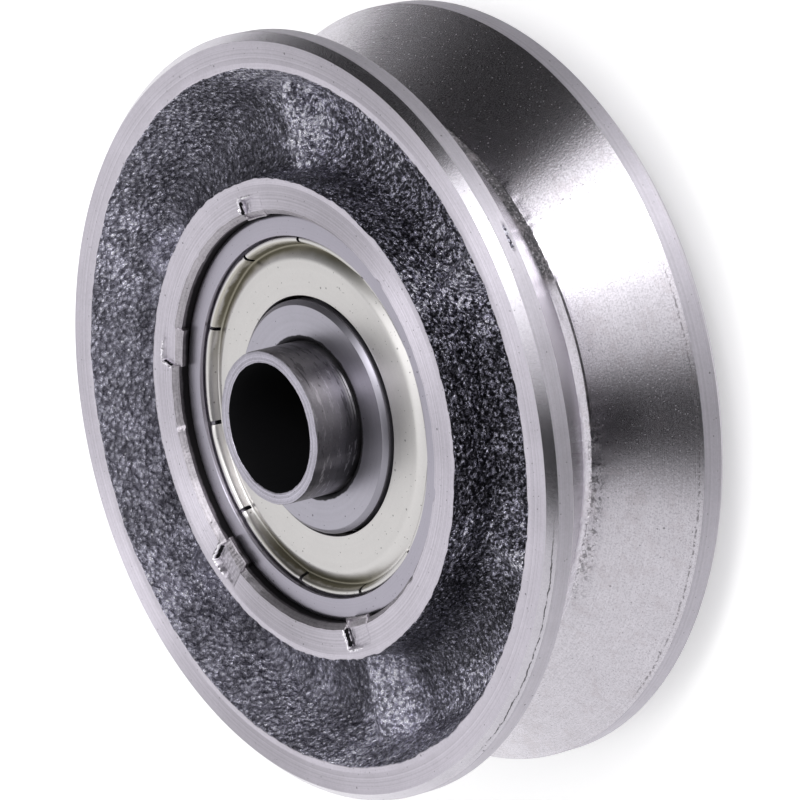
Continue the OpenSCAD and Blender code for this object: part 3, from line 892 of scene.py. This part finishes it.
def wheel_hub():
    """The hub's turned face, the bevelled mouth of the bearing seat, the stakes and the nicks."""
    reach = 6.9
    ang = lines_round(600, [np.arange(stake[0] - reach, stake[0] + reach, 0.14) for stake in STAKES])
    seat = path([(SEAT_R, SEAT_TOP), (SEAT_R, NEAR - SEAT_BEVEL)], 0.1)
    mouth = path([(SEAT_R, NEAR - SEAT_BEVEL), (SEAT_R + SEAT_BEVEL, NEAR)], 0.1)[1:]
    face = path([(SEAT_R + SEAT_BEVEL, NEAR), (HUB_FACE_R, NEAR)], 0.075)[1:]
    flat_r, flat_z = on_lines(seat + mouth + face, ang)
    r, z = flat_r, flat_z
    stamp = slit = np.zeros_like(r)
    for stake in STAKES:
        r, z, bright, open_slit = punched(r, z, flat_r, flat_z, ang, stake)
        stamp = np.maximum(stamp, bright)
        slit = np.maximum(slit, open_slit)
    for middle, half in NICKS:
        turn = np.radians(ang[None, :] - middle)
        across = np.exp(-(flat_r * np.sin(turn) / half) ** 4) * (np.cos(turn) > 0)
        z = z - NICK_DEPTH * across * step(16.62, 16.4, flat_r) * (flat_z > 8.0)
    ragged = noise(around_axis(flat_r, flat_z, ang) * 1.1, 12)
    r = r - 0.05 * ragged * bell(flat_r - 16.3, 0.28) * (flat_z > 7.95)
    materials = {"face": MACHINED, "seat": SHADED_SEAT, "mouth": MOUTH, "burr": STAMP, "slit": HOLE_SHADE}
    number = numbered(materials)
    rows = [number["seat"]] * (len(seat) - 1) + [number["mouth"]] * len(mouth) + [number["face"]] * len(face)
    faces = np.where(rows_between(stamp) > 0.32, number["burr"], np.array(rows)[:, None])
    # the slits' faces take the black painted shade
    faces = np.where(rows_between(slit) > 0.74, number["slit"], faces)
    grid_object("wheel_hub", around_axis(r, z, ang), materials.values(), faces, "wheel", "wheel",
                smooth_angle=30)


def wheel_back_hub():
    """The far hub face, the plain bore behind the seat, the seat's shoulder and its wall."""
    face = path([(BACK_HUB_FACE_R + 0.1, -FAR), (BACK_BORE_R + BACK_BORE_BEVEL, -FAR)], 0.6)
    bore = path([face[-1], (BACK_BORE_R, BACK_BORE_BEVEL - FAR), (BACK_BORE_R, SEAT_FOOT),
                 (SEAT_R, SEAT_FOOT), (SEAT_R, SEAT_TOP)], 0.6)[1:]
    rows = np.array([0] * (len(face) - 1) + [1] * len(bore))[:, None]
    points = revolve(face + bore, lines_round(240))
    grid_object("wheel_back_hub", points, [MACHINED, SHADED_SEAT], rows, "wheel", "wheel")


# ----------------------------------------------------------------- bearing

def outer_ring():
    """Seat corner, undercut for the shield, shoulder and track, mirrored about the bearing's middle."""
    half = [(SEAT_R, 0.0)]
    half += arc(SEAT_R - RING_CORNER, BEARING_HALF - RING_CORNER, RING_CORNER, 0, 90, 8)
    half += [(r, BEARING_HALF - down) for r, down in (
        (14.22, 0), (14.18, 0.04), (14.18, 0.3), (14.38, 0.5), (14.38, 0.8), (14.18, 1.0))]
    half += [(14.18, 3.6), (12.85, 3.6), (12.85, 1.2), (13.9, 0.0)]
    profile = [(r, BEARING_Z - z) for r, z in half[::-1]] + [(r, BEARING_Z + z) for r, z in half[1:]]
    grid_object("outer_ring_dressed", revolve(profile, lines_round(540)), [RING], 0, "wheel", "outer_ring")


def inner_ring():
    """Shoulder, bevel, end face and bore corner, mirrored about the bearing's middle."""
    half = [(9.15, 1.2)]
    half += [(r, BEARING_HALF - down) for r, down in (
        (9.15, 0.35), (9.12, 0.31), (8.84, 0.03), (8.8, 0), (7.6, 0))]
    half += arc(SLEEVE_R + RING_CORNER, BEARING_HALF - RING_CORNER, RING_CORNER, 90, 180, 8)
    half += [(SLEEVE_R, 0.0)]
    profile = [(r, BEARING_Z + z) for r, z in half] + [(r, BEARING_Z - z) for r, z in half[-2::-1]]
    grid_object("inner_ring_dressed", revolve(profile, lines_round(480)), [INNER], 0, "hub", "inner_ring")


def shield(name, side, cad_node, seed):
    """Pressed sheet with a valley and a rolled rim, slit so that it can be curled into the ring."""
    pitch = 360 / SLITS
    slits = [-6.5 + pitch * i + 1.3 * math.sin(2.3 * i + seed) for i in range(SLITS)]
    by_slit = np.concatenate([np.arange(-1.1, 1.11, 0.2), [-0.68, -0.62, 0.62, 0.68]])
    ang = lines_round(420, [s + by_slit for s in slits])
    edge = [(9.42, 6.35), (9.42, 6.74)]
    plate = path([(9.45, 6.77), (12.1, 6.77)], 0.5)
    slope = [(12.2, 6.765), (12.3, 6.745), (12.4, 6.71), (12.55, 6.635), (12.7, 6.55), (12.85, 6.46),
             (13.0, 6.37), (13.13, 6.3), (13.23, 6.26)]
    valley = [(13.3, 6.25), (13.36, 6.265), (13.41, 6.31), (13.45, 6.39), (13.49, 6.51)]
    rise = [(13.53, 6.63), (13.57, 6.75), (13.62, 6.87), (13.68, 6.97)]
    curl = [(13.76, 7.035), (13.85, 7.065), (13.93, 7.055), (14.0, 7.015), (14.06, 6.95), (14.1, 6.86),
            (14.13, 6.7), (14.13, 6.4)]
    r, z = on_lines(edge + plate + slope + valley + rise + curl, ang)
    # how far round the circle the nearest slit's middle is, in millimetres
    away = np.radians(np.abs(signed(ang[None, :, None] - np.array(slits))).min(-1)) * r
    # between two slits the curl sags a little at both ends, and is drawn in most in its middle
    to_end = np.abs(np.mod((ang[None, :] - slits[0]) / pitch, 1) - 0.5) * 2
    z = z - CURL_SAG * to_end ** 10 * step(13.4, 13.7, r)
    r = r - CURL_SAG * (1 - to_end ** 2) * step(12.9, 13.3, r) * step(13.95, 13.7, r)
    cut = (away < SLIT_HALF) & (r > SLIT_R)
    z = np.where(cut, np.minimum(z, SLIT_Z), z)
    z = z + 0.012 * noise(around_axis(r, z, ang) * 0.35, seed)
    points = around_axis(r, BEARING_Z + side * (z - BEARING_Z), ang)
    # the floors of the slits are painted black, as the shade seen through them
    faces = (cut[:-1] & cut[1:]).astype(int)
    grid_object(name, points[::side], [ZINC, HOLE_SHADE], faces[::side], "wheel", cad_node, smooth_angle=40)


# ------------------------------------------------------------------ sleeve

def axle_sleeve():
    """The tube: its sawn near end is uneven, and two worn ridges run part of the way round it."""
    ang = lines_round(480)
    top, inside, outside = SLEEVE_TOP, SLEEVE_BORE_R, SLEEVE_R
    far_bevel = SLEEVE_BEVEL - top
    profile = [(inside, far_bevel), (inside + SLEEVE_BEVEL, -top), (outside - SLEEVE_BEVEL, -top)]
    profile += path([(outside, far_bevel), (outside, 7.0)], 1.2)
    profile += path([(outside, 7.0), (outside, 8.2)], 0.06)[1:]
    profile += path([(outside, 8.2), (outside, top - 0.12)], 0.3)[1:] + [(5.97, top - 0.03)]
    profile += path([(5.9, top), (5.15, top)], 0.12) + [(5.08, top - 0.05)]
    profile += path([(inside, top - 0.2), (inside, far_bevel)], 1.5)
    r, z = on_lines(profile, ang)
    p = around_axis(r, z, ang)
    ridge = sum(height * bell(z - at, width) for at, width, height in RIDGES)
    r = r + RIDGE_H * ridge * step(25, 12, np.abs(signed(ang[None, :] + 71))) * (r > 5.5)
    z = z + np.where(z > top - 0.06, 0.03 * noise(p * 0.8, 41) + 0.012 * noise(p * 3.1, 42) - 0.02, 0)
    near_end = np.where(r > 5.5, 1, -1) * step(top - 0.5, top - 0.1, z)
    r = r + near_end * (0.035 * noise(p * 1.1, 43) + 0.02 * noise(p * 3.3, 44))
    materials = {"tube": SLEEVE, "end": SAWN, "bore": HOLE_SHADE}
    number = numbered(materials)
    row_r, row_z = rows_between(np.array(profile)).T
    rows = np.where((np.abs(row_z) > top - 0.1) & (row_r < 5.96), number["end"], number["tube"])
    # the bore is painted black as shade
    rows = np.where(row_r < 5.1, number["bore"], rows)
    grid_object("axle_sleeve_dressed", around_axis(r, z, ang), materials.values(), rows[:, None], "hub",
                "axle_sleeve")


def dress(cad_node, material):
    """The balls and the cage keep their CAD meshes."""
    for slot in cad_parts[cad_node].material_slots:
        slot.material = material


wheel_front_web()
wheel_rim()
wheel_hub()
wheel_back_hub()
outer_ring()
inner_ring()
shield("shield_front_dressed", 1, "shield_front", 2)
shield("shield_back_dressed", -1, "shield_back", 5)
axle_sleeve()
for i in range(BALLS):
    dress("ball_%d" % (i + 1), BALL)
dress("cage_front", CAGE)
dress("cage_back", CAGE)
dress("cage_rivets", RIVET)


# ------------------------------------------------------------------- stage

FLOOR_COLOUR, FLOOR_GLOW = (0.82, 0.82, 0.82), 0.4


def pale_floor():
    """A pale diffuse that takes the shadow, and a glow for camera, glossy and transmission rays alone."""
    material = bpy.data.materials.new("pale_floor")
    material.use_nodes = True
    tree = material.node_tree
    tree.nodes.clear()
    rays = node(tree, "ShaderNodeLightPath").outputs
    seen = most(Value(rays["Is Camera Ray"]), Value(rays["Is Glossy Ray"]))
    seen = most(seen, Value(rays["Is Transmission Ray"]))
    diffuse = node(tree, "ShaderNodeBsdfDiffuse", {"Color": FLOOR_COLOUR})
    glow = node(tree, "ShaderNodeEmission", {"Strength": seen * FLOOR_GLOW})
    both = node(tree, "ShaderNodeAddShader", {0: Value(diffuse.outputs[0]), 1: Value(glow.outputs[0])})
    node(tree, "ShaderNodeOutputMaterial", {0: Value(both.outputs[0])})
    return material


FLOOR_HALF = 3.0  # metres
floor_z = cad_box[0][2]
floor_mesh = bpy.data.meshes.new("floor")
floor_mesh.from_pydata([(-FLOOR_HALF, -FLOOR_HALF, floor_z), (FLOOR_HALF, -FLOOR_HALF, floor_z),
                        (FLOOR_HALF, FLOOR_HALF, floor_z), (-FLOOR_HALF, FLOOR_HALF, floor_z)],
                       [], [(0, 1, 2, 3)])
floor_mesh.materials.append(pale_floor())
floor = placed("floor", floor_mesh)

# Strength of light by direction, in degrees round the object. A colour ramp holds up to 1, so these go
# in as shares of BRIGHTEST.
BRIGHTEST = 2.0
LEFT_WALL = [(-180, 1.0), (-150, 0.98), (-139, 0.87), (-131, 0.55), (-125, 0.1), (-120, 0.006),
             (-102, 0.006), (-96, 0.12), (-88, 0.66), (-80, 0.98), (-70, 1.25), (-60, 1.7), (-48, 1.95),
             (88, 1.95), (92, 0.95), (105, 1.0), (130, 1.05), (180, 1.0)]
RIGHT_WALL = [(-180, 1.0), (-150, 0.98), (-100, 0.3), (-50, 0.4), (-38, 0.4), (-25, 0.14), (-5, 0.025),
              (24, 0.025), (34, 0.07), (43, 0.16), (55, 0.22), (66, 0.42), (78, 0.78), (90, 0.97),
              (105, 1.0), (130, 1.05), (180, 1.0)]


def wall(azimuth, stops):
    """The light from a wall, by the direction round the object."""
    return ramp((azimuth + 180.0) / 360.0, [((at + 180) / 360, light / BRIGHTEST) for at, light in stops])


def studio():
    """Soft walls of light and shade round the object, the same for the camera and for the metal."""
    world = bpy.data.worlds.new("studio")
    bpy.context.scene.world = world
    world.use_nodes = True
    tree = world.node_tree
    tree.nodes.clear()
    way = Value(node(tree, "ShaderNodeTexCoord").outputs["Generated"])
    azimuth = degrees_round(way)
    height = maths("ARCSINE", split(way)[2]) * DEGREES
    # the dark slot in the left wall, with its middle at -107, is narrower low down
    low_down = maths("DIVIDE", 35.0 - height, 71.0, clamp=True)
    side = maths("DIVIDE", azimuth + 113.0, 12.0, clamp=True) * 2.0 - 1.0
    left = wall(azimuth + low_down * side * 5.0, LEFT_WALL)
    right = wall(azimuth, RIGHT_WALL)
    # the walls meet along a line that leans with height
    walls = mix(eased(azimuth - (height * 0.49 - 38.0), -6, 7), left, right)
    overhead = mix(between(azimuth, -88, -62, 40, 66), (0.54, 0.54, 0.545), (0.86, 0.86, 0.86))
    ceiling = eased(height + between(azimuth, -20, 2, 50, 72) * 9.0, 61, 71)
    light = times(mix(ceiling, walls, overhead), (BRIGHTEST, BRIGHTEST, BRIGHTEST))
    background = node(tree, "ShaderNodeBackground", {"Color": light})
    node(tree, "ShaderNodeOutputWorld", {0: Value(background.outputs[0])})


studio()

# One soft lamp, in metres and watts, that looks at the object.
LAMP_SIZE, LAMP_POWER = 0.25, 1.2
LAMP_PLACE = (0.45, -0.45, 0.55)
lamp_data = bpy.data.lights.new("soft_key", "AREA")
lamp_data.shape = "DISK"
lamp_data.size = LAMP_SIZE
lamp_data.energy = LAMP_POWER
lamp = placed("soft_key", lamp_data)
lamp.location = LAMP_PLACE
lamp.rotation_euler = Vector(lamp.location).to_track_quat("Z", "Y").to_euler()
lamp.visible_camera = False

# The camera looks down on the near face, rolled so that +x is up. Its place is in metres.
RIGHT = Vector((-0.15043, -0.60645, -0.78076))
UP = Vector((0.98194, 0.0, -0.18919))
BACK = Vector((0.11474, -0.79512, 0.59550))
CAMERA_PLACE = Vector((0.053434, -0.372286, 0.277520))
camera_data = bpy.data.cameras.new("camera")
camera_data.sensor_width = 36
camera_data.lens = 271.56
camera_data.clip_start = 0.01
camera_data.clip_end = 20
camera = placed("camera", camera_data)
stand = Matrix((RIGHT, UP, BACK)).transposed().to_4x4()
stand.translation = CAMERA_PLACE
camera.matrix_world = stand
bpy.context.scene.camera = camera
bpy.context.scene.view_settings.view_transform = "Standard"
